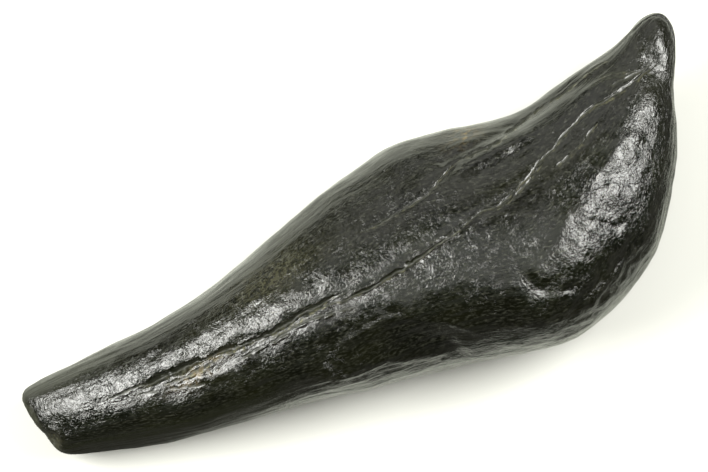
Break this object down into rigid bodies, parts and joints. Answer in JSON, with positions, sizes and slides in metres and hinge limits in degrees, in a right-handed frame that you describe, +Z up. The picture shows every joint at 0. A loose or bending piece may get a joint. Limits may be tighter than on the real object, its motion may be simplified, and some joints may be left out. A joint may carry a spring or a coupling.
{
  "type": "fossil whale tooth",
  "caption": "Glossy black fossil sperm whale tooth lying on its side: blunt worn end, swelling shaft, hooked tip and long furrows.",
  "frame": {"origin": "centre of the tooth's footprint, on the surface it rests on", "axes": "+X along the tooth from its blunt end to its hooked tip, +Y towards its hollow side, +Z up"},
  "size_m": [0.1256, 0.044, 0.0291],
  "materials": {
    "tooth": "glossy, finely crackled black fossil, with olive-brown tints in its furrows"
  },
  "bodies": {
    "root": {"tooth": "tooth"}
  },
  "joints": []
}
